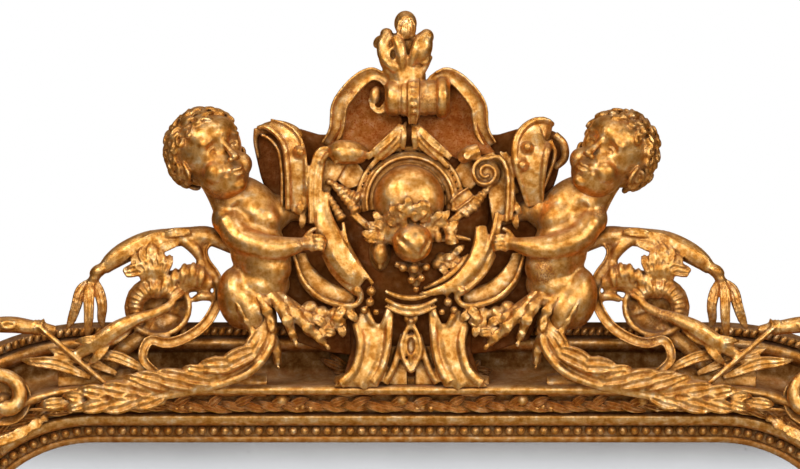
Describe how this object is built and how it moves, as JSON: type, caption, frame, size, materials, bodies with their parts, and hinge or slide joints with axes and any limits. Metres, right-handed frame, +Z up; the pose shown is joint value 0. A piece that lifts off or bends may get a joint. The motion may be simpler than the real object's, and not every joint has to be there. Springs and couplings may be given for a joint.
{
  "type": "wall mirror",
  "caption": "Gilded wall mirror with a moulded frame, rounded corners with carved ornaments, and a crest of two child half-figures holding a scrolled cartouche among leaf scrolls",
  "frame": {"origin": "the point on the flat back of the top rail, on the mirror's middle line and 70 mm above the sight edge, where the wall holds it", "axes": "+Z up, +Y into the wall, -Y to the front, +X to the right seen from the front"},
  "size_m": [1.142, 0.1311, 1.7571],
  "materials": {
    "gilding": "aged gold leaf over red-brown bole on carved wood",
    "silvering": "silvered plate",
    "deal": "plain softwood board"
  },
  "bodies": {
    "root": {"rail_top": "gilding", "rail_bottom": "gilding", "stile_left": "gilding", "stile_right": "gilding", "crest": "gilding", "corner_top_left": "gilding", "corner_top_right": "gilding", "corner_bottom_left": "gilding", "corner_bottom_right": "gilding", "mirror_glass": "silvering", "backboard": "deal"}
  },
  "joints": []
}
